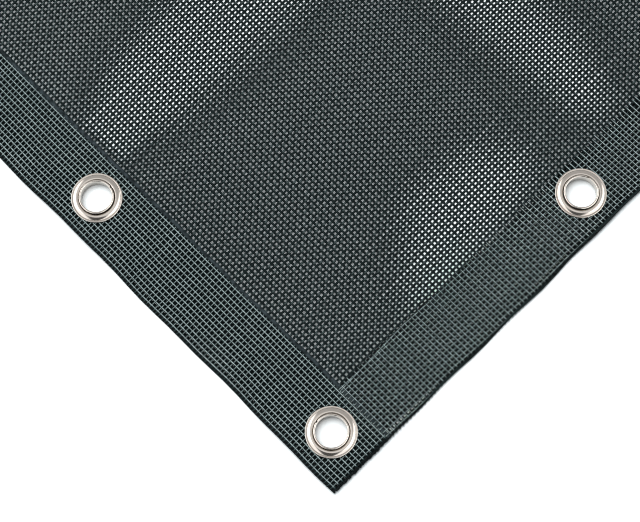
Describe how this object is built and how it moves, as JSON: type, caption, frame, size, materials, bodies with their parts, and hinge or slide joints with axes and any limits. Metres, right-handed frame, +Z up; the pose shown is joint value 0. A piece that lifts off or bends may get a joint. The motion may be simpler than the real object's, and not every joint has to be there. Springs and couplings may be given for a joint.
{
  "type": "mesh tarpaulin",
  "caption": "Dark green openwork tarpaulin laid out flat, with wide turned hems and round metal eyelets along its edges for tying down.",
  "frame": {"origin": "on the surface the cloth lies on, under the middle of the tarpaulin", "axes": "+X along the front and back hems, +Y along the left and right hems, +Z up out of the surface"},
  "size_m": [0.574, 0.558, 0.0066],
  "materials": {
    "mesh": "matt coated yarn, open weave",
    "hem": "coated yarn, three layers welded, pale worn crests",
    "eyelet": "nickel plated, semi bright",
    "washer": "nickel plated, semi bright"
  },
  "bodies": {
    "root": {"mesh_panel": "mesh", "hem_left": "hem", "hem_right": "hem", "hem_front": "hem", "hem_back": "hem", "eyelet_01": "eyelet", "eyelet_02": "eyelet", "eyelet_03": "eyelet", "eyelet_04": "eyelet", "eyelet_05": "eyelet", "eyelet_06": "eyelet", "eyelet_07": "eyelet", "eyelet_08": "eyelet", "eyelet_09": "eyelet", "eyelet_10": "eyelet", "eyelet_11": "eyelet", "eyelet_12": "eyelet", "washer_01": "washer", "washer_02": "washer", "washer_03": "washer", "washer_04": "washer", "washer_05": "washer", "washer_06": "washer", "washer_07": "washer", "washer_08": "washer", "washer_09": "washer", "washer_10": "washer", "washer_11": "washer", "washer_12": "washer"}
  },
  "joints": []
}
